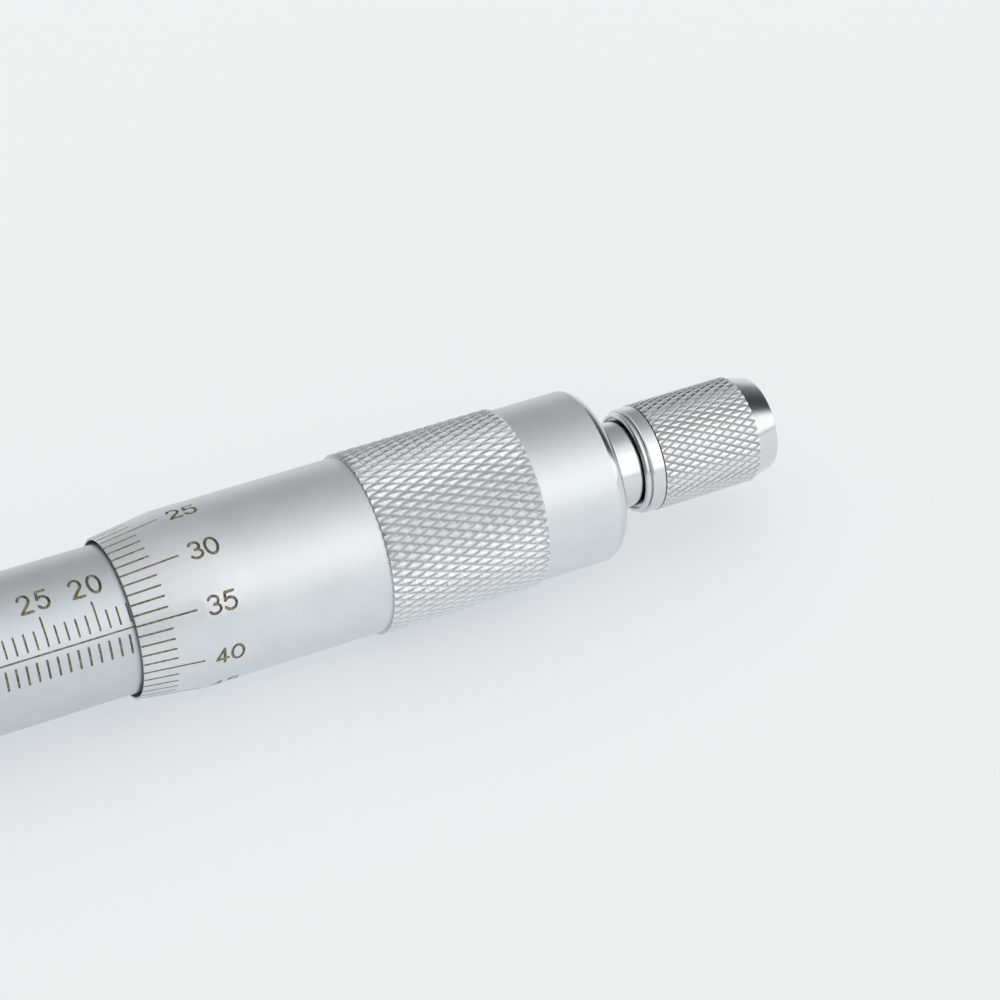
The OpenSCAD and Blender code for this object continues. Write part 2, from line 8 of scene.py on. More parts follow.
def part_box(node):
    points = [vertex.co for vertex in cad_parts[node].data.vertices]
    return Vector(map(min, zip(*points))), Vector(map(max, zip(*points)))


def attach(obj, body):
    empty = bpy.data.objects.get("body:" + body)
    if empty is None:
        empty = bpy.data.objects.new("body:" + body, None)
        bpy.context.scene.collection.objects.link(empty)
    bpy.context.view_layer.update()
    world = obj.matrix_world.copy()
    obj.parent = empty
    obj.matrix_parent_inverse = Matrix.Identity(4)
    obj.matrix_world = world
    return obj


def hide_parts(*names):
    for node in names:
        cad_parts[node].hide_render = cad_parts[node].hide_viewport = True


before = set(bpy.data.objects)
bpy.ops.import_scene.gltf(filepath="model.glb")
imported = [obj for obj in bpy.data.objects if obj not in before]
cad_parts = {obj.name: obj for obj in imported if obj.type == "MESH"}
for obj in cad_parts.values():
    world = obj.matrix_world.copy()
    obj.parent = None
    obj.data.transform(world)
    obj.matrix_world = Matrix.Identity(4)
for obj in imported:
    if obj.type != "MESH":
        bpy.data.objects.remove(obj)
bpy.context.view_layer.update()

# Places are in millimetres along the tool's axis, from the graduated sleeve's front end, and out from it.
# Clock angles are in degrees, from straight up and round towards the reader.
MM = 0.001
sleeve_low, sleeve_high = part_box("graduated_sleeve")
FRONT_X = sleeve_low.x
AXIS_Y = (sleeve_low.y + sleeve_high.y) / 2
AXIS_Z = (sleeve_low.z + sleeve_high.z) / 2

# Clock angles of the datum line, the jaws, the guide key and the lock screw
SCALE_ROLL = 59
JAW_ROLL = SCALE_ROLL - 90
KEY_ROLL = SCALE_ROLL + 90
LOCK_ROLL = SCALE_ROLL + 180

# Scale and its reading at rest
RANGE_MIN, RANGE_MAX = 5, 30
READING = 16.85
PITCH = 0.5
SCALE_MARGIN = 4.5
NUMBER_STEP = 5
THIMBLE_MARKS = 50
THIMBLE_VALUE = round(READING * THIMBLE_MARKS / PITCH) % THIMBLE_MARKS

# Sleeve
SLEEVE_R = 7.3
SLEEVE_BORE_R = 6.0
SLEEVE_LEN = 37.5
SLEEVE_EASE = 0.12
SPANNER_R = 0.8
SPANNER_X = SCALE_MARGIN / 2

# Thimble, whose front edge stands at the reading
THIMBLE_X = SCALE_MARGIN + RANGE_MAX - READING
THIMBLE_LEN = 50.7
THIMBLE_END = THIMBLE_X + THIMBLE_LEN
THIMBLE_R = 8.75
THIMBLE_BORE_R = 7.55
BORE_RING = 14.0
MOUTH_R = 7.7
MOUTH_LEN, MOUTH_STEP = 2.4, 0.1
LIP_R = 7.9
LIP_EASE = 0.05
BEVEL_LEN = 6.3
BEVEL_RISE = THIMBLE_R - LIP_R
BARREL_RING = 10.6
REAR_CHAMFER = 1.25
REAR_WALL = 4.7
CONE_SMALL_R, CONE_LARGE_R = 2.8, 3.3

# Knurl of the thimble. A diamond has the width of a groove's side, its depth and the crown above it.
KNURL_X = THIMBLE_X + 25
KNURL_LEN = 16.5
KNURL_R = 9.1
KNURL_COUNT = 62
KNURL_ROWS = 14
KNURL_SINK = 0.1
THIMBLE_DIAMOND = (0.12, 0.10, 0.14)

# Ratchet knob and its knurl. The rim's points are (along from the knob's front, radius). The points of a
# rounded end are (before the end, less or more radius).
STEM_R = 4.4
STEM_PLAY = 0.05
KNOB_X = THIMBLE_END + 3.6
KNOB_LEN = 15.2
KNOB_END = KNOB_X + KNOB_LEN
KNOB_MOUTH_R = 4.75
KNOB_MOUTH_LEN = 0.9
RIM_FACE = [(0.05, KNOB_MOUTH_R), (0, 4.8), (0, 4.9), (0.07, 5.03), (0.2, 5.1), (0.44, 5.12)]
RIM_GROOVE = [(0.47, 5.0), (0.57, 5.0), (0.6, 5.25), (0.66, 5.33)]
COLLAR_LEN = 2.1
COLLAR_R = 5.36
COLLAR_START = 0.78
COLLAR_ROUND = [(0.1, 0), (0.03, 0.07)]
CONE_EASE = 0.05
KNOB_KNURL_X = KNOB_X + COLLAR_LEN
KNOB_KNURL_LEN = 10.6
KNOB_KNURL_END = KNOB_KNURL_X + KNOB_KNURL_LEN
KNOB_KNURL_R = 5.5
KNOB_KNURL_COUNT = 42
KNOB_KNURL_ROWS = 13
KNOB_KNURL_SINK = 0.05
KNOB_DIAMOND = (0.11, 0.10, 0.065)
KNOB_CORE_R = KNOB_KNURL_R - 0.3
KNOB_END_R = 4.5
KNOB_END_ROUND = [(0.3, 0.3), (0.09, 0.2), (0, 0)]
WELL_R, WELL_DEPTH = 2.9, 3.1
WELL_EASE = 0.05
END_HOLE_R = 1.95
STEM_ROOM_END = KNOB_END - 5

# Frame's collar
FRAME_LEN = 28.0
FRAME_FRONT = -FRAME_LEN
FRAME_R = 9.1
FRAME_BEVEL = 0.6
SLEEVE_SEAT = -12.0
SPINDLE_R = 4.0
SPINDLE_PLAY = 0.05
BORE_EASE = 0.35
KEY_X, KEY_R = -18.0, 1.5
LOCK_X, LOCK_R = -20.0, 1.5

# Jaws: half-round tips on sloped roots. The reading lies between the two measuring faces.
JAW_REACH = 31.0
TIP_R = 2.2
TIP_LEN = 14.0
TIP_DEPTH = 2.45
TIP_SINK = 2.0
TIP_CROWN = 0.4
TIP_ROUND = 0.12
ROOT_TOP = JAW_REACH - TIP_LEN
ROOT_EXTRA = 3.5
ROOT_STEP = 0.3
ROOT_INSET = 0.02
ROOT_SINK = 0.5
ROOT_ROUND = 0.18
BLADE_HALF = 2.2
FIXED_FACE = FRAME_FRONT + TIP_DEPTH
MOVING_FACE = FIXED_FACE - READING

# Foot of the fixed jaw and its four screws
FOOT_LEN = 14.0
FOOT_END = FRAME_FRONT + FOOT_LEN
FOOT_HALF = 6.1
FOOT_SEAT, FOOT_TOP = 6.5, 9.2
FOOT_ROUND = 0.25
FOOT_MARGIN = 3.2
FOOT_SCREW_HEAD_R, FOOT_SCREW_HEAD_H = 1.6, 1.4
FOOT_SCREW_SEAT = FOOT_TOP - FOOT_SCREW_HEAD_H
FOOT_SCREW_DROP = 0.3
FOOT_SCREW_CROWN = 0.2
FOOT_SCREW_Y = (BLADE_HALF + FOOT_HALF) / 2
FOOT_SCREW_PLACES = [(x, side * FOOT_SCREW_Y) for x in (FRAME_FRONT + FOOT_MARGIN, FOOT_END - FOOT_MARGIN)
                     for side in (-1, 1)]
SINK_PLAY = 0.05
SINK_FLOOR = 0.03
SINK_CHAMFER = 0.15

# Boss of the moving jaw, its cross pin and its end screw
BOSS_R = 8.0
BOSS_START, BOSS_BACK = MOVING_FACE - 4.5, MOVING_FACE + TIP_DEPTH - 0.1
NOSE_R = 3.0
NOSE_WALL = 1.0
PIN_R = 0.75
PIN_PLAY = 0.03
PIN_X = BOSS_BACK - 1.8
END_HEAD_R, END_HEAD_H = 4.4, 1.5
END_HEAD_CROWN = 0.3
END_SHANK_R = 1.25
SHANK_LEN = 1.0

# Screwdriver slots
SLOT_DEPTH = 0.7
SLOT_RUN = 3.0
FOOT_SLOT_HALF, END_SLOT_HALF = 0.2, 0.4

# Engraving: marks in degrees from the datum line and in lengths along the bevel, strokes by their radius,
# and figures by their width and height
MARK_NEAR, MARK_SHORT, MARK_LONG = 4.6, 17.4, 26.0
HALF_NEAR, HALF_FAR = 5.2, 18.6
MARK_STEPS = 8
DATUM_START, DATUM_BEYOND = -0.5, 1.0
SHORT_MARK, LONG_MARK = 3.2, 5.7
MARK_OVERRUN = 0.3
MARK_STROKE, HALF_STROKE, DATUM_STROKE = 0.1, 0.12, 0.09
FIGURE_STROKE = 0.145
STROKE_LIFT = 0.03
SLEEVE_FIGURE = (1.1, 1.86)
SLEEVE_FIGURE_GAP = 0.62
SLEEVE_FIGURE_ANGLE = 39.5
THIMBLE_FIGURE = (1.15, 1.68)
THIMBLE_FIGURE_GAP = 0.4
THIMBLE_FIGURE_X = 6.9

# How far a cutting shape stands out of what it cuts
CUT_EXTRA = 1.0

# Points nearer than this, in metres, are one
SAME_POINT = 1e-7

# Sides of round pieces
GRADUATED_SIDES = 360
BODY_SIDES = 240
END_SCREW_SIDES = 128
TIP_SIDES = 96
SCREW_SIDES = 64

# Rounded chamfers bow from a first angle in even steps. Edges up to these angles are shaded smooth.
CROWN_START, CROWN_STEP = 15, 10
CROWN_SMOOTH = 13
SLEEVE_SMOOTH = 6
KNURL_SMOOTH = 20
SCREW_SMOOTH = 20
BLADE_SMOOTH = 30

# Edges sharper than these angles are rounded
PLATE_EDGE = 20
TIP_EDGE = 40

# How much the faces of a chamfer lean along the axis, beyond which a face is an end, and the margin for
# finding them at the rim
LEAN_LEAST, LEAN_MOST = 0.1, 0.99
REAR_LEAN = 0.2
RIM_MARGIN = 0.05


def at(x, r=0.0, angle=0.0):
    """The place x along the axis and r out from it, at a clock angle."""
    a = math.radians(angle)
    return Vector((FRONT_X + x * MM, AXIS_Y - r * MM * math.sin(a), AXIS_Z + r * MM * math.cos(a)))


def rolled(x, across, high, roll):
    """The place x along the axis, across it and high above it, where high points along a clock angle."""
    side = at(0, across, roll - 90) - at(0)
    return at(x, high, roll) + side


def along_and_out(spot):
    """How far a place is along the axis and out from it."""
    return (spot.x - FRONT_X) / MM, math.hypot(spot.y - AXIS_Y, spot.z - AXIS_Z) / MM


def mark_x(mm):
    """Where the sleeve's mark for a reading stands along the axis."""
    return SCALE_MARGIN + RANGE_MAX - mm


def mark_turn(value):
    """The clock angle of one of the thimble's marks."""
    return SCALE_ROLL + (value - THIMBLE_VALUE) * 360 / THIMBLE_MARKS


def bevel_r(along):
    """The radius of the thimble's bevel, along from its front edge."""
    return LIP_R + BEVEL_RISE * along / BEVEL_LEN


def deselect():
    """Leaves edit mode and deselects every object."""
    if bpy.context.object and bpy.context.object.mode != "OBJECT":
        bpy.ops.object.mode_set(mode="OBJECT")
    bpy.ops.object.select_all(action="DESELECT")


def pick(piece):
    """Makes a piece the only one selected."""
    deselect()
    piece.select_set(True)
    bpy.context.view_layer.objects.active = piece


def placed(piece):
    """Puts a piece's place into its mesh."""
    pick(piece)
    bpy.ops.object.transform_apply(location=True, rotation=True, scale=True)
    return piece


def named(name):
    """Names the new object and puts its place into its mesh."""
    piece = bpy.context.object
    piece.name = name
    piece.data.name = name
    return placed(piece)


def choose(piece, kind, wanted):
    """Selects, in edit mode, the vertices or faces for which wanted is true."""
    bpy.ops.mesh.select_all(action="DESELECT")
    bpy.ops.mesh.select_mode(type=kind)
    mesh = bmesh.from_edit_mesh(piece.data)
    for part in {"VERT": mesh.verts, "FACE": mesh.faces}[kind]:
        if wanted(part):
            part.select_set(True)
    mesh.select_flush_mode()
    bmesh.update_edit_mesh(piece.data)


def cleaned(piece):
    """Merges doubles and turns the faces outwards."""
    pick(piece)
    bpy.ops.object.mode_set(mode="EDIT")
    bpy.ops.mesh.select_all(action="SELECT")
    bpy.ops.mesh.remove_doubles(threshold=SAME_POINT)
    bpy.ops.mesh.normals_make_consistent(inside=False)
    bpy.ops.object.mode_set(mode="OBJECT")
    return piece


def joined(name, pieces):
    """Makes separate pieces one object."""
    pick(pieces[0])
    for piece in pieces:
        piece.select_set(True)
    bpy.ops.object.join()
    return named(name)


def finish_on(piece, *materials):
    """Gives a piece its materials, in order."""
    piece.data.materials.clear()
    for material in materials:
        piece.data.materials.append(material)


def put_in_slot(piece, slot):
    """Puts the selected faces into a material slot, in edit mode."""
    piece.active_material_index = slot
    bpy.ops.object.material_slot_assign()


def slot_where(piece, slot, wanted):
    """Puts the faces for which wanted is true into a material slot."""
    pick(piece)
    bpy.ops.object.mode_set(mode="EDIT")
    choose(piece, "FACE", wanted)
    put_in_slot(piece, slot)
    bpy.ops.object.mode_set(mode="OBJECT")


def rounded(piece, width, angle):
    """Rounds the edges of a piece that are sharper than the angle."""
    pick(piece)
    bevel = piece.modifiers.new("rounded", "BEVEL")
    bevel.width = width * MM
    bevel.segments = 3
    bevel.limit_method = "ANGLE"
    bevel.angle_limit = math.radians(angle)
    bpy.ops.object.modifier_apply(modifier=bevel.name)


def smoothed(piece, angle):
    """Shades a piece smooth, apart from edges sharper than the angle, with normals led by the large faces."""
    pick(piece)
    bpy.ops.object.shade_smooth_by_angle(angle=math.radians(angle))
    even = piece.modifiers.new("even", "WEIGHTED_NORMAL")
    even.keep_sharp = True
    bpy.ops.object.modifier_apply(modifier=even.name)


def turned(name, profile, sides, capped=False):
    """Turns a piece about the tool's axis: a ring is extruded from point to point of (x, radius)."""
    deselect()
    x, r = profile[0]
    bpy.ops.mesh.primitive_circle_add(
        vertices=sides, radius=r * MM, location=at(x), rotation=(0, math.radians(90), 0))
    piece = named(name)
    bpy.ops.object.mode_set(mode="EDIT")
    bpy.ops.mesh.select_mode(type="VERT")
    bpy.ops.mesh.select_all(action="SELECT")
    if capped:
        bpy.ops.mesh.edge_face_add()
    for next_x, next_r in profile[1:]:
        bpy.ops.mesh.extrude_region_move(
            TRANSFORM_OT_translate={"value": ((next_x - x) * MM, 0, 0)})
        bpy.ops.transform.resize(
            value=(1, next_r / r, next_r / r), center_override=at(next_x))
        x, r = next_x, next_r
    return cleaned(piece)


def crowned(x, r, way, size):
    """The points of a slightly bowed chamfer at an end at x that faces along way, by rising x."""
    bow = size * math.sqrt(2)
    inset = bow * math.cos(math.radians(CROWN_START))
    turns = [math.radians(turn) for turn in range(CROWN_START, 90 - CROWN_START + 1, CROWN_STEP)]
    points = [(x - way * (inset - bow * math.sin(turn)), r - inset + bow * math.cos(turn))
              for turn in turns]
    return points if way > 0 else points[::-1]


def stood(piece, x, across, roll):
    """Stands a piece that was turned about the axis upright at x, along a clock angle and across from it."""
    upright = Matrix.Rotation(math.radians(roll), 4, "X") @ Matrix.Rotation(math.radians(-90), 4, "Y")
    foot = Matrix.Translation(rolled(x, across, 0, roll))
    piece.matrix_world = foot @ upright @ Matrix.Translation(-at(0))
    return placed(piece)


def plate(name, outline, half, roll, bevel=0):
    """A plate of an outline of (x, height) points, extruded across the axis, with its edges rounded."""
    deselect()
    bpy.ops.mesh.primitive_circle_add(vertices=len(outline), radius=MM)
    piece = named(name)
    bpy.ops.object.mode_set(mode="EDIT")
    mesh = bmesh.from_edit_mesh(piece.data)
    for vertex, (x, high) in zip(mesh.verts, outline):
        vertex.co = rolled(x, -half, high, roll)
    bmesh.update_edit_mesh(piece.data)
    bpy.ops.mesh.select_all(action="SELECT")
    bpy.ops.mesh.edge_face_add()
    bpy.ops.mesh.extrude_region_move(
        TRANSFORM_OT_translate={"value": rolled(0, 2 * half, 0, roll) - at(0)})
    cleaned(piece)
    if bevel:
        rounded(piece, bevel, PLATE_EDGE)
    return piece


def block(name, ends, heights, half, roll, bevel=0):
    """A plate with four corners, between two ends along the axis and two heights."""
    (start, end), (low, high) = ends, heights
    return plate(name, [(start, low), (end, low), (end, high), (start, high)], half, roll, bevel)


def peg(name, low, high, r, x, roll):
    """A plain round peg that stands on the axis, for cutting holes."""
    return stood(turned(name, [(low, r), (high, r)], SCREW_SIDES, capped=True), x, 0, roll)


def slot_bar(x, way, half, roll):
    """A bar across the axis that cuts a screwdriver slot, from x outwards along way."""
    return block("slot_bar", (x, x + way * SLOT_RUN), (-half, half), 2 * END_HEAD_R, roll)


def combine(piece, other, operation):
    """Cuts another closed shape out of a piece or joins it on, and removes it."""
    pick(piece)
    change = piece.modifiers.new("combine", "BOOLEAN")
    change.operation = operation
    change.solver = "MANIFOLD"
    change.object = other
    bpy.ops.object.modifier_apply(modifier=change.name)
    bpy.data.objects.remove(other)


def cut(piece, tool, slot=0):
    """Cuts a tool's shape out of a piece and leaves the cut in a material slot."""
    finish_on(tool, *piece.data.materials)
    for face in tool.data.polygons:
        face.material_index = slot
    combine(piece, tool, "DIFFERENCE")


def join_on(piece, other):
    """Joins another closed shape to a piece, in the piece's finish."""
    finish_on(other, *piece.data.materials)
    combine(piece, other, "UNION")


def diamond_band(name, x, length, r, rows, count, inner_r, diamond, top, groove):
    """A ring of crowned diamonds between crossing grooves. One diamond is two rows long. The grooves and
    the ring's ends share a darker finish, which is painted shade."""
    side, rise, crown = diamond
    floor_r = r - rise - crown
    step = length / rows
    turn = math.pi / count
    rings = [(x + j * step, floor_r) for j in range(-1, rows + 2)]
    first, last = rings[0][0], rings[-1][0]
    piece = turned(name, [(first, inner_r), *rings, (last, inner_r), (first, inner_r)], 2 * count)
    # The grooves and ends take the first, darker finish: painted shade
    finish_on(piece, groove, top)

    def crossing(vertex):
        """Whether two grooves cross at a vertex of the outside, or None for any other vertex."""
        along, out = along_and_out(vertex.co)
        if out < (inner_r + floor_r) / 2:
            return None
        row = round((along - x) / step)
        column = round(math.atan2(AXIS_Y - vertex.co.y, vertex.co.z - AXIS_Z) / turn)
        return (row + column) % 2 == 0

    def inside(vertex):
        """Whether a vertex lies between the band's end rings."""
        return first + step / 2 < along_and_out(vertex.co)[0] < last - step / 2

    pick(piece)
    bpy.ops.object.mode_set(mode="EDIT")
    choose(piece, "VERT", lambda vertex: crossing(vertex) is True)
    bpy.ops.mesh.vert_connect()
    choose(piece, "VERT", lambda vertex: crossing(vertex) is False and inside(vertex))
    bpy.ops.mesh.dissolve_verts()
    choose(piece, "FACE", lambda face: len(face.verts) == 4 and all(map(crossing, face.verts)))
    bpy.ops.mesh.inset(thickness=side * MM, depth=rise * MM, use_individual=True)
    bpy.ops.mesh.poke(offset=crown * MM)
    put_in_slot(piece, 1)
    for end, way in ((x, -1), (x + length, 1)):
        bpy.ops.mesh.select_all(action="SELECT")
        bpy.ops.mesh.bisect(plane_co=at(end), plane_no=(way, 0, 0), use_fill=True, clear_outer=True)
    cleaned(piece)
    slot_where(piece, 0, lambda face: abs(face.normal.x) > LEAN_MOST)
    smoothed(piece, KNURL_SMOOTH)
    return piece


def strokes_of(figure):
    """The strokes of one figure, in a box from 0 to 1."""
    def arc(cx, cy, rx, ry, start, stop, steps):
        """Points round a part of an ellipse."""
        turns = [math.radians(start + (stop - start) * i / steps) for i in range(steps + 1)]
        return [(cx + rx * math.cos(t), cy + ry * math.sin(t)) for t in turns]
    return {
        "0": [arc(0.5, 0.5, 0.5, 0.5, 90, 450, 30)],
        "1": [[(0.12, 0.76), (0.55, 1)], [(0.55, 1), (0.55, 0)]],
        "2": [arc(0.48, 0.7, 0.45, 0.3, 165, -38, 14) + [(0.02, 0)], [(0.02, 0), (0.98, 0)]],
        "3": [arc(0.46, 0.755, 0.43, 0.245, 155, -88, 14), arc(0.47, 0.265, 0.5, 0.265, 88, -155, 16)],
        "4": [[(0.7, 0), (0.7, 1)], [(0.7, 1), (0, 0.27)], [(0, 0.27), (1, 0.27)]],
        "5": [[(0.9, 1), (0.2, 1)], [(0.2, 1), (0.08, 0.55)],
              arc(0.47, 0.335, 0.51, 0.335, 140, -150, 16)],
    }[figure]


def text_width(text, width, gap):
    """The width of a number whose figures stand a gap apart."""
    return len(text) * width + (len(text) - 1) * gap


def figures(texts, size, gap, place):
    """Three layers of strokes for numbers, so that no two strokes of a layer cross. Each point is passed
    through place(text, along, up), with the middle of the number at 0, 0."""
    width, height = size
    layers = [[], [], []]
    for text in texts:
        for i, figure in enumerate(text):
            left = i * (width + gap) - text_width(text, width, gap) / 2
            for layer, stroke in zip(layers, strokes_of(figure)):
                layer.append([place(text, left + u * width, (v - 0.5) * height) for u, v in stroke])
    return layers


def cutter(name, lines, radius):
    """Round cutting strokes with round ends along lines of points, as one closed mesh."""
    deselect()
    curve = bpy.data.curves.new(name, "CURVE")
    curve.dimensions = "3D"
    curve.bevel_depth = radius * MM
    curve.bevel_resolution = 3
    curve.use_fill_caps = True
    # How far past a line's end the rings of its round end lie and how wide they are, in shares of the radius
    ends = [(share, math.sqrt(1 - share * share)) for share in (0.5, 0.8, 0.97)]
    for line in lines:
        closed = (line[0] - line[-1]).length < SAME_POINT
        stroke = [(spot, 1.0) for spot in (line[:-1] if closed else line)]
        if not closed:
            back = (line[0] - line[1]).normalized() * radius * MM
            ahead = (line[-1] - line[-2]).normalized() * radius * MM
            stroke = ([(line[0] + back * share, width) for share, width in reversed(ends)] + stroke
                      + [(line[-1] + ahead * share, width) for share, width in ends])
        spline = curve.splines.new("POLY")
        spline.points.add(len(stroke) - 1)
        for point, (spot, width) in zip(spline.points, stroke):
            point.co = (*spot, 1)
            point.radius = width
        spline.use_cyclic_u = closed
    strokes = bpy.data.objects.new(name, curve)
    bpy.context.scene.collection.objects.link(strokes)
    pick(strokes)
    bpy.ops.object.convert(target="MESH")
    return cleaned(bpy.context.object)


class Shade:
    """A value in a node tree. Python's operators add Math nodes to the tree."""

    def __init__(self, tree, socket=None):
        self.tree = tree
        self.socket = socket

    def node(self, kind, settings=None, sockets=None, output=0):
        """Adds a node with its settings and the values or links of its sockets."""
        made = self.tree.nodes.new("ShaderNode" + kind)
        for name, value in (settings or {}).items():
            if name == "stops":
                ramp = made.color_ramp.elements
                while len(ramp) < len(value):
                    ramp.new(0.5)
                for stop, (place, shade) in zip(ramp, value):
                    stop.position = place
                    stop.color = (shade, shade, shade, 1)
            else:
                setattr(made, name, value)
        for name, value in (sockets or {}).items():
            if isinstance(value, Shade):
                self.tree.links.new(value.socket, made.inputs[name])
            else:
                made.inputs[name].default_value = value
        return Shade(self.tree, made.outputs[output])

    def maths(self, operation, *values):
        """Adds a Math node."""
        return self.node("Math", {"operation": operation}, dict(enumerate(values)))

    def __add__(self, other):
        return self.maths("ADD", self, other)

    def __radd__(self, other):
        return self.maths("ADD", other, self)

    def __sub__(self, other):
        return self.maths("SUBTRACT", self, other)

    def __rsub__(self, other):
        return self.maths("SUBTRACT", other, self)

    def __mul__(self, other):
        return self.maths("MULTIPLY", self, other)

    def __rmul__(self, other):
        return self.maths("MULTIPLY", other, self)

    def __truediv__(self, other):
        return self.maths("DIVIDE", self, other)

    def ramp(self, low, high):
        """0 below low and 1 above high, with a soft step between."""
        return self.node("MapRange", {"interpolation_type": "SMOOTHSTEP"},
                         {"Value": self, "From Min": low, "From Max": high})

    def colour(self, first, second):
        """The first colour where this value is 0, the second where it is 1."""
        return self.node("Mix", {"data_type": "RGBA"}, {0: self, 6: first, 7: second}, output=2)


def new_material(name):
    """An empty material: its surface shader, its starting point for values and its Object coordinates."""
    material = bpy.data.materials.new(name)
    material.use_nodes = True
    start = Shade(material.node_tree)
    spot = start.node("TexCoord", output=3)
    return material, material.node_tree.nodes["Principled BSDF"], start, spot


def feed(shader, name, value):
    """Links a value to a socket of the surface shader."""
    shader.id_data.links.new(value.socket, shader.inputs[name])


def metal(name, tint, rough, grain, lines, shade_variation=0.04, grain_size=0.14):
    """A plated metal with turning lines round the axis and a fine grain, whose size is in millimetres."""
    material, shader, start, spot = new_material(name)
    along = start.node("SeparateXYZ", sockets={0: spot}) / MM
    fine = start.node("TexNoise", sockets={
        "Vector": spot, "Scale": 1 / (grain_size * MM), "Detail": 2.0, "Roughness": 0.6})
    cloud = start.node("TexNoise", sockets={
        "Vector": spot, "Scale": 260.0, "Detail": 3.0, "Roughness": 0.55})
    turning = start.node("TexNoise", {"noise_dimensions": "1D"}, {
        "W": along, "Scale": 14.0, "Detail": 3.0, "Roughness": 0.7})
    worn = cloud * 0.6 + fine * 0.4
    dark = tuple(c * (1 - shade_variation) for c in tint)
    light = tuple(min(1, c * (1 + shade_variation)) for c in tint)
    feed(shader, "Base Color", worn.ramp(0.3, 0.7).colour((*dark, 1), (*light, 1)))
    feed(shader, "Roughness", rough + (cloud - 0.5) * (rough * 0.18) + (turning - 0.5) * (lines * 0.12))
    height = fine * grain + turning * lines
    feed(shader, "Normal", start.node("Bump", sockets={
        "Strength": 0.35, "Distance": 0.00001, "Height": height}))
    shader.inputs["Metallic"].default_value = 1.0
    return material


def engraving_paint():
    """The dark olive lacquer of engraved lines and figures, thin enough for the metal to gleam through."""
    material, shader, start, spot = new_material("engraving_paint")
    cloud = start.node("TexNoise", sockets={"Vector": spot, "Scale": 3000.0, "Detail": 2.0})
    thin = cloud.ramp(0.3, 0.7)
    feed(shader, "Base Color", thin.colour((0.13, 0.12, 0.075, 1), (0.34, 0.315, 0.20, 1)))
    feed(shader, "Roughness", 0.26 + cloud * 0.16)
    shader.inputs["Metallic"].default_value = 0.85
    return material


def pale_floor():
    """A pale table top of lit white acrylic, which keeps shadows faint."""
    material, shader, start, spot = new_material("pale_floor")
    cloud = start.node("TexNoise", sockets={"Vector": spot, "Scale": 9.0, "Detail": 2.0})
    feed(shader, "Base Color", cloud.colour((0.39, 0.375, 0.325, 1), (0.41, 0.395, 0.345, 1)))
    shader.inputs["Emission Color"].default_value = (0.854, 0.91, 1, 1)
    shader.inputs["Emission Strength"].default_value = 0.533
    shader.inputs["Roughness"].default_value = 0.55
    shader.inputs["Specular IOR Level"].default_value = 0.2
    return material


satin = metal("satin_chrome", (0.76, 0.79, 0.815), 0.44, 0.9, 0.25)
sleeve_satin = metal("sleeve_satin", (0.66, 0.695, 0.725), 0.42, 0.9, 0.25)
knurl_satin = metal("knurled_satin", (0.80, 0.82, 0.84), 0.32, 30.0, 0.0, grain_size=0.3)
knurl_bright = metal("knurled_chrome", (0.76, 0.77, 0.785), 0.16, 2.0, 0.0, grain_size=0.3)
# Darker tints for the knurls' grooves and band ends: painted shade
satin_groove_painted_shade = metal("satin_groove_painted_shade", (0.60, 0.62, 0.64), 0.34, 12.0, 0.0, grain_size=0.3)
knurl_groove_painted_shade = metal("knurl_groove_painted_shade", (0.58, 0.59, 0.60), 0.26, 2.0, 0.0, grain_size=0.3)
bright = metal("bright_chrome", (0.72, 0.73, 0.745), 0.16, 0.15, 0.3, shade_variation=0.02)
steel = metal("tool_steel", (0.50, 0.51, 0.525), 0.3, 0.4, 0.3)
ground = metal("ground_steel", (0.56, 0.57, 0.585), 0.28, 0.5, 2.5)
brass = metal("pad_brass", (0.72, 0.52, 0.22), 0.3, 0.4, 0.3)
paint = engraving_paint()

# Finishes of the CAD nodes that stay: steel, apart from these
CAD_FINISHES = {"clamp_pad": brass, "ratchet_stem": bright, "spindle": bright}
for name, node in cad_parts.items():
    finish_on(node, CAD_FINISHES.get(name, steel))


def frame_collar():
    """The frame's collar, with the flat that the fixed jaw's foot is screwed to and polished chamfers."""
    bore_r = SPINDLE_R + SPINDLE_PLAY
    piece = turned("frame_collar", [
        (FRAME_FRONT + BORE_EASE, bore_r), (FRAME_FRONT, bore_r + BORE_EASE),
        *crowned(FRAME_FRONT, FRAME_R, -1, FRAME_BEVEL), *crowned(0, FRAME_R, 1, FRAME_BEVEL),
        (0, SLEEVE_BORE_R), (SLEEVE_SEAT, SLEEVE_BORE_R), (SLEEVE_SEAT, bore_r),
        (FRAME_FRONT + BORE_EASE, bore_r)], BODY_SIDES)
    finish_on(piece, satin, bright)
    cut(piece, block("foot_flat", (FRAME_FRONT - CUT_EXTRA, FOOT_END), (FOOT_SEAT, FRAME_R + CUT_EXTRA),
                     FRAME_R, JAW_ROLL))
    cut(piece, peg("key_hole", 0, FRAME_R + CUT_EXTRA, KEY_R, KEY_X, KEY_ROLL))
    cut(piece, peg("lock_hole", 0, FRAME_R + CUT_EXTRA, LOCK_R, LOCK_X, LOCK_ROLL))
    cleaned(piece)

    def chamfer(face):
        """Whether a face is at the rim and leans along the axis without facing along it."""
        out = along_and_out(face.calc_center_median())[1]
        at_rim = out > FRAME_R - FRAME_BEVEL - RIM_MARGIN
        return at_rim and LEAN_LEAST < abs(face.normal.x) < LEAN_MOST
    slot_where(piece, 1, chamfer)
    smoothed(piece, CROWN_SMOOTH)
    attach(piece, "frame")
    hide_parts("frame_body")


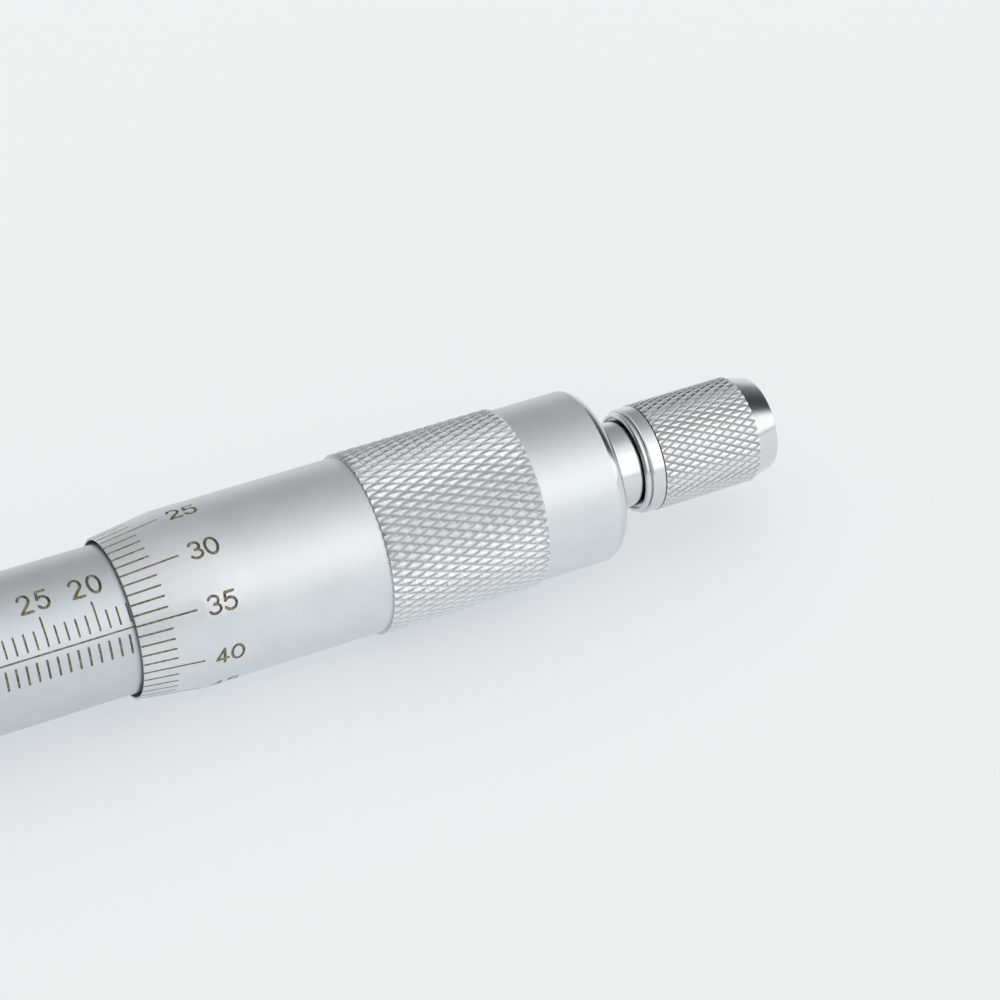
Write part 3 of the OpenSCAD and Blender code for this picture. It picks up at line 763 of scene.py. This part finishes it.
def jaw_tip(name, face, way):
    """The half-round measuring tip, whose round side reaches the face."""
    tip = turned(name, [(ROOT_TOP - TIP_SINK, TIP_R), *crowned(JAW_REACH, TIP_R, 1, TIP_CROWN)],
                 TIP_SIDES, capped=True)
    stood(tip, face + way * TIP_R, 0, JAW_ROLL)
    back = face + way * TIP_DEPTH
    cut(tip, block("tip_flat", (back, back + way * 2 * TIP_R),
                   (ROOT_TOP - 2 * TIP_SINK, JAW_REACH + CUT_EXTRA), 2 * TIP_R, JAW_ROLL))
    cleaned(tip)
    rounded(tip, TIP_ROUND, TIP_EDGE)
    return tip


def jaw_root(name, face, way, low):
    """The blade that carries the tip, sloped on the side of the measuring face."""
    back = face + way * (TIP_DEPTH - ROOT_INSET)
    wide = face - way * ROOT_EXTRA
    outline = [(back, low), (wide, low), (wide, ROOT_TOP - 2 * ROOT_EXTRA),
               (face - way * ROOT_STEP, ROOT_TOP), (back, ROOT_TOP)]
    return plate(name, outline, BLADE_HALF, JAW_ROLL, ROOT_ROUND)


def fixed_blade():
    """The fixed jaw: a foot with four sunk holes, a sloped blade and a half-round tip."""
    piece = block("fixed_blade", (FRAME_FRONT, FOOT_END), (FOOT_SEAT, FOOT_TOP), FOOT_HALF, JAW_ROLL,
                  FOOT_ROUND)
    finish_on(piece, ground)
    join_on(piece, jaw_root("fixed_root", FIXED_FACE, -1, FOOT_SEAT + ROOT_SINK))
    join_on(piece, jaw_tip("fixed_tip", FIXED_FACE, -1))
    hole_r = FOOT_SCREW_HEAD_R + SINK_PLAY
    for x, across in FOOT_SCREW_PLACES:
        hole = turned("screw_hole", [
            (FOOT_SCREW_SEAT - SINK_FLOOR, hole_r), (FOOT_TOP - SINK_CHAMFER, hole_r),
            (FOOT_TOP + SINK_CHAMFER, hole_r + 2 * SINK_CHAMFER)], SCREW_SIDES, capped=True)
        cut(piece, stood(hole, x, across, JAW_ROLL))
    cleaned(piece)
    smoothed(piece, BLADE_SMOOTH)
    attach(piece, "frame")
    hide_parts("fixed_jaw")


def foot_screws():
    """The four slotted screws of the fixed jaw's foot."""
    heads = []
    for x, across in FOOT_SCREW_PLACES:
        head = turned("foot_screws", [
            (FOOT_SCREW_SEAT - SHANK_LEN, FOOT_SCREW_HEAD_R / 2), (FOOT_SCREW_SEAT, FOOT_SCREW_HEAD_R / 2),
            (FOOT_SCREW_SEAT, FOOT_SCREW_HEAD_R),
            *crowned(FOOT_TOP - FOOT_SCREW_DROP, FOOT_SCREW_HEAD_R, 1, FOOT_SCREW_CROWN)],
            SCREW_SIDES, capped=True)
        finish_on(head, steel)
        cut(head, slot_bar(FOOT_TOP - SLOT_DEPTH, 1, FOOT_SLOT_HALF, 0))
        heads.append(stood(cleaned(head), x, across, JAW_ROLL))
    piece = joined("foot_screws", heads)
    smoothed(piece, SCREW_SMOOTH)
    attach(piece, "frame")
    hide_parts("fixed_jaw_screws")


def moving_blade():
    """The moving jaw: a round boss on the spindle's nose, a sloped blade and a half-round tip."""
    piece = turned("moving_blade", [
        (BOSS_START, NOSE_R), *crowned(BOSS_START, BOSS_R, -1, FRAME_BEVEL),
        *crowned(BOSS_BACK, BOSS_R, 1, FRAME_BEVEL), (BOSS_BACK, NOSE_R), (BOSS_START, NOSE_R)], BODY_SIDES)
    finish_on(piece, ground)
    join_on(piece, jaw_root("moving_root", MOVING_FACE, 1, NOSE_R + NOSE_WALL))
    join_on(piece, jaw_tip("moving_tip", MOVING_FACE, 1))
    pin_end = BOSS_R + CUT_EXTRA
    cut(piece, peg("pin_hole", -pin_end, pin_end, PIN_R + PIN_PLAY, PIN_X, JAW_ROLL - 90))
    cleaned(piece)
    smoothed(piece, CROWN_SMOOTH)
    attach(piece, "carriage")
    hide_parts("movable_jaw")


def end_screw():
    """The slotted screw that holds the moving jaw on the spindle's nose."""
    top = BOSS_START - END_HEAD_H
    head = turned("end_screw", [
        (BOSS_START + SHANK_LEN, END_SHANK_R), (BOSS_START, END_SHANK_R), (BOSS_START, END_HEAD_R),
        *crowned(top, END_HEAD_R, -1, END_HEAD_CROWN)[::-1]], END_SCREW_SIDES, capped=True)
    finish_on(head, steel)
    cut(head, slot_bar(top + SLOT_DEPTH, -1, END_SLOT_HALF, JAW_ROLL))
    cleaned(head)
    smoothed(head, CROWN_SMOOTH)
    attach(head, "carriage")
    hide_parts("jaw_end_screw")


def scale_sleeve():
    """The sleeve with the millimetre scale, its half marks, its datum line and its numbers."""
    piece = turned("scale_sleeve", [
        (0, SLEEVE_BORE_R), (0, SLEEVE_R - SLEEVE_EASE), (SLEEVE_EASE, SLEEVE_R),
        (SLEEVE_LEN - SLEEVE_EASE, SLEEVE_R), (SLEEVE_LEN, SLEEVE_R - SLEEVE_EASE),
        (SLEEVE_LEN, SLEEVE_BORE_R), (0, SLEEVE_BORE_R)], GRADUATED_SIDES)
    finish_on(piece, sleeve_satin, paint)
    stroke_r = SLEEVE_R + STROKE_LIFT

    def tick(mm, near, far):
        """A mark across the axis, between two angles from the datum line."""
        turns = [near + (far - near) * i / MARK_STEPS for i in range(MARK_STEPS + 1)]
        return [at(mark_x(mm), stroke_r, SCALE_ROLL + turn) for turn in turns]

    def place(text, along, up):
        """A point of a number above its mark."""
        turn = SLEEVE_FIGURE_ANGLE + math.degrees(up / SLEEVE_R)
        return at(mark_x(int(text)) + along, stroke_r, SCALE_ROLL - turn)

    upper = [tick(mm, -MARK_NEAR, -MARK_SHORT if mm % NUMBER_STEP else -MARK_LONG)
             for mm in range(RANGE_MIN, RANGE_MAX + 1)]
    lower = [tick(mm + PITCH, HALF_NEAR, HALF_FAR) for mm in range(RANGE_MIN, RANGE_MAX)]
    datum = [at(x, stroke_r, SCALE_ROLL) for x in (DATUM_START, mark_x(RANGE_MIN) + DATUM_BEYOND)]
    cut(piece, cutter("upper_ticks", upper, MARK_STROKE), 1)
    cut(piece, cutter("lower_ticks", lower, HALF_STROKE), 1)
    cut(piece, cutter("datum_line", [datum], DATUM_STROKE), 1)
    numbers = [str(mm) for mm in range(RANGE_MIN, RANGE_MAX + 1, NUMBER_STEP)]
    for layer in figures(numbers, SLEEVE_FIGURE, SLEEVE_FIGURE_GAP, place):
        cut(piece, cutter("sleeve_figures", layer, FIGURE_STROKE), 1)
    cut(piece, peg("spanner_hole", SLEEVE_BORE_R - CUT_EXTRA / 2, SLEEVE_R + CUT_EXTRA, SPANNER_R,
                   SPANNER_X, LOCK_ROLL))
    cleaned(piece)
    smoothed(piece, SLEEVE_SMOOTH)
    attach(piece, "frame")
    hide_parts("graduated_sleeve")


def thimble_shell():
    """The thimble: graduated bevel with numbers behind it, plain barrel, rear band and polished rear edge."""
    x = THIMBLE_X
    wall_x = THIMBLE_END - REAR_WALL
    piece = turned("thimble_shell", [
        (x + BORE_RING, THIMBLE_BORE_R), (x + MOUTH_LEN + MOUTH_STEP, THIMBLE_BORE_R),
        (x + MOUTH_LEN, MOUTH_R), (x + LIP_EASE, MOUTH_R), (x, MOUTH_R + LIP_EASE),
        (x, LIP_R - LIP_EASE), (x + LIP_EASE, bevel_r(LIP_EASE)),
        (x + BEVEL_LEN, THIMBLE_R), (x + BARREL_RING, THIMBLE_R),
        *crowned(THIMBLE_END, THIMBLE_R, 1, REAR_CHAMFER),
        (THIMBLE_END, CONE_SMALL_R), (wall_x, CONE_LARGE_R), (wall_x, THIMBLE_BORE_R),
        (x + BORE_RING, THIMBLE_BORE_R)], GRADUATED_SIDES)
    finish_on(piece, satin, paint, bright)

    lines = []
    for value in range(THIMBLE_MARKS):
        length = SHORT_MARK if value % NUMBER_STEP else LONG_MARK
        lines.append([at(x + along, bevel_r(along) + STROKE_LIFT, mark_turn(value))
                      for along in (-MARK_OVERRUN, length)])
    cut(piece, cutter("thimble_lines", lines, MARK_STROKE), 1)

    def place(text, along, up):
        """A point of a number behind its mark."""
        middle = x + THIMBLE_FIGURE_X + text_width(text, THIMBLE_FIGURE[0], THIMBLE_FIGURE_GAP) / 2
        turn = mark_turn(int(text)) - math.degrees(up / THIMBLE_R)
        return at(middle + along, THIMBLE_R + STROKE_LIFT, turn)
    numbers = [str(value) for value in range(0, THIMBLE_MARKS, NUMBER_STEP)]
    for layer in figures(numbers, THIMBLE_FIGURE, THIMBLE_FIGURE_GAP, place):
        cut(piece, cutter("thimble_figures", layer, FIGURE_STROKE), 1)
    cleaned(piece)

    def rear_edge(face):
        """Whether a face is part of the rear chamfer or end."""
        along = along_and_out(face.calc_center_median())[0]
        return along > THIMBLE_END - REAR_CHAMFER and face.normal.x > REAR_LEAN
    slot_where(piece, 2, rear_edge)
    smoothed(piece, CROWN_SMOOTH)
    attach(piece, "drive")
    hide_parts("thimble")


def thimble_knurl():
    """The thimble's knurled band."""
    band = diamond_band("thimble_knurl", KNURL_X, KNURL_LEN, KNURL_R, KNURL_ROWS, KNURL_COUNT,
                        THIMBLE_R - KNURL_SINK, THIMBLE_DIAMOND, knurl_satin, satin_groove_painted_shade)
    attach(band, "drive")


def ratchet_grip():
    """The ratchet's knob: rimmed collar round an open mouth, core of the knurl and polished end cone."""
    x = KNOB_X
    stem_room_r = STEM_R + STEM_PLAY
    piece = turned("ratchet_grip", [
        (x + KNOB_MOUTH_LEN, KNOB_MOUTH_R), *[(x + along, r) for along, r in RIM_FACE + RIM_GROOVE],
        (x + COLLAR_START, COLLAR_R),
        *[(KNOB_KNURL_X - before, COLLAR_R - less) for before, less in COLLAR_ROUND],
        (KNOB_KNURL_X, KNOB_CORE_R), (KNOB_KNURL_END, KNOB_CORE_R),
        (KNOB_KNURL_END, COLLAR_R - CONE_EASE), (KNOB_KNURL_END + CONE_EASE, COLLAR_R),
        *[(KNOB_END - before, KNOB_END_R + more) for before, more in KNOB_END_ROUND],
        (KNOB_END, WELL_R + WELL_EASE), (KNOB_END - WELL_EASE, WELL_R),
        (KNOB_END - WELL_DEPTH, WELL_R), (KNOB_END - WELL_DEPTH, END_HOLE_R),
        (STEM_ROOM_END, END_HOLE_R), (STEM_ROOM_END, stem_room_r), (x + KNOB_MOUTH_LEN, stem_room_r),
        (x + KNOB_MOUTH_LEN, KNOB_MOUTH_R)], BODY_SIDES)
    finish_on(piece, bright)
    smoothed(piece, CROWN_SMOOTH)
    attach(piece, "ratchet")
    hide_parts("ratchet_knob")


def knob_knurl():
    """The knob's knurled band."""
    band = diamond_band("knob_knurl", KNOB_KNURL_X, KNOB_KNURL_LEN, KNOB_KNURL_R, KNOB_KNURL_ROWS,
                        KNOB_KNURL_COUNT, KNOB_CORE_R - KNOB_KNURL_SINK, KNOB_DIAMOND,
                        knurl_bright, knurl_groove_painted_shade)
    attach(band, "ratchet")


frame_collar()
fixed_blade()
foot_screws()
moving_blade()
end_screw()
scale_sleeve()
thimble_shell()
thimble_knurl()
ratchet_grip()
knob_knurl()

# Table top, in metres
TABLE_SIZE = 8
deselect()
bpy.ops.mesh.primitive_plane_add(size=TABLE_SIZE, location=(0, 0, 0))
floor = named("table_top")
finish_on(floor, pale_floor())

# Room light for reflections. Each wall is a list of clock angles round the tool's axis and grey levels:
# a bright window on the reader's side, higher towards the left, a dim far left and a dark ceiling at the
# far right.
LEFT_WALL = [(-90, 0.60), (-60, 0.30), (-30, 0.16), (0, 0.13), (30, 0.17), (60, 0.30), (90, 0.40)]
SIDE_WALL = [(-90, 0.85), (-67, 0.56), (-49, 0.58), (-31, 0.80), (-13, 1.02), (5, 1.14), (23, 1.16),
             (41, 1.05), (59, 0.98), (70, 0.68), (80, 0.50), (90, 0.45)]
MIDDLE_WALL = [(-90, 0.82), (-67, 0.38), (-49, 0.38), (-31, 0.42), (-13, 0.54), (5, 0.90), (23, 1.24),
               (41, 1.56), (77, 1.50), (85, 1.10), (90, 0.75)]
RIGHT_WALL = [(-90, 0.85), (-62, 0.27), (-43, 0.15), (-23, 0.07), (-3, 0.07), (12, 0.12), (18, 0.30),
              (28, 0.90), (39, 1.35), (77, 1.35), (86, 0.60), (90, 0.50)]
BRIGHTEST = 1.6
# Where each wall takes over from the one to its left, as shares of a direction along the axis
TAKE_OVERS = [(SIDE_WALL, -0.40, 0.02), (MIDDLE_WALL, 0.09, 0.354), (RIGHT_WALL, 0.40, 0.68)]


def room_light():
    """A plain room that the metal reflects. The floor gets even white light from it."""
    world = bpy.data.worlds.new("room")
    bpy.context.scene.world = world
    world.use_nodes = True
    tree = world.node_tree
    start = Shade(tree)
    way = start.node("TexCoord", output=0)
    parts = start.node("SeparateXYZ", sockets={0: way}).socket.node.outputs
    across, depth, height = (Shade(tree, part) for part in parts)
    # From 0 to 1 round the axis, with straight up at one half
    clock = start.maths("ARCTAN2", -1 * depth, height) / (2 * math.pi) + 0.5

    def wall(levels):
        """A grey for each clock angle."""
        stops = [(angle / 360 + 0.5, level / BRIGHTEST) for angle, level in levels]
        return start.node("ValToRGB", {"stops": stops}, {0: clock})

    room = wall(LEFT_WALL)
    for levels, near, far in TAKE_OVERS:
        room = across.ramp(near, far).colour(room, wall(levels))
    room = start.node("VectorMath", {"operation": "SCALE"}, {0: room, "Scale": BRIGHTEST})
    rays = start.node("LightPath").socket.node.outputs
    kinds = ("Is Camera Ray", "Is Glossy Ray", "Is Transmission Ray")
    seen = sum(Shade(tree, rays[kind]) for kind in kinds)
    colour = seen.colour((1.0, 1.0, 1.0, 1), room)
    background = tree.nodes["Background"]
    tree.links.new(colour.socket, background.inputs["Color"])
    background.inputs["Strength"].default_value = 1.0
    world.cycles.sampling_method = "NONE"


room_light()

# Camera, as the photograph was taken: places in metres, sensor and lens in millimetres
CAMERA_PLACE = (-0.073343, -0.228566, 0.202618)
CAMERA_RIGHT = Vector((0.894268, -0.447531, 0))
CAMERA_UP = Vector((0.273330, 0.546175, 0.791798))
CAMERA_SENSOR, CAMERA_LENS = 36, 116.05
CAMERA_NEAR = 0.01
bpy.ops.object.camera_add(location=CAMERA_PLACE)
camera = bpy.context.object
camera_turn = Matrix((CAMERA_RIGHT, CAMERA_UP, CAMERA_RIGHT.cross(CAMERA_UP))).transposed()
camera.rotation_euler = camera_turn.to_euler()
camera.data.sensor_width = CAMERA_SENSOR
camera.data.lens = CAMERA_LENS
camera.data.clip_start = CAMERA_NEAR
bpy.context.scene.camera = camera
bpy.context.scene.view_settings.view_transform = "Standard"
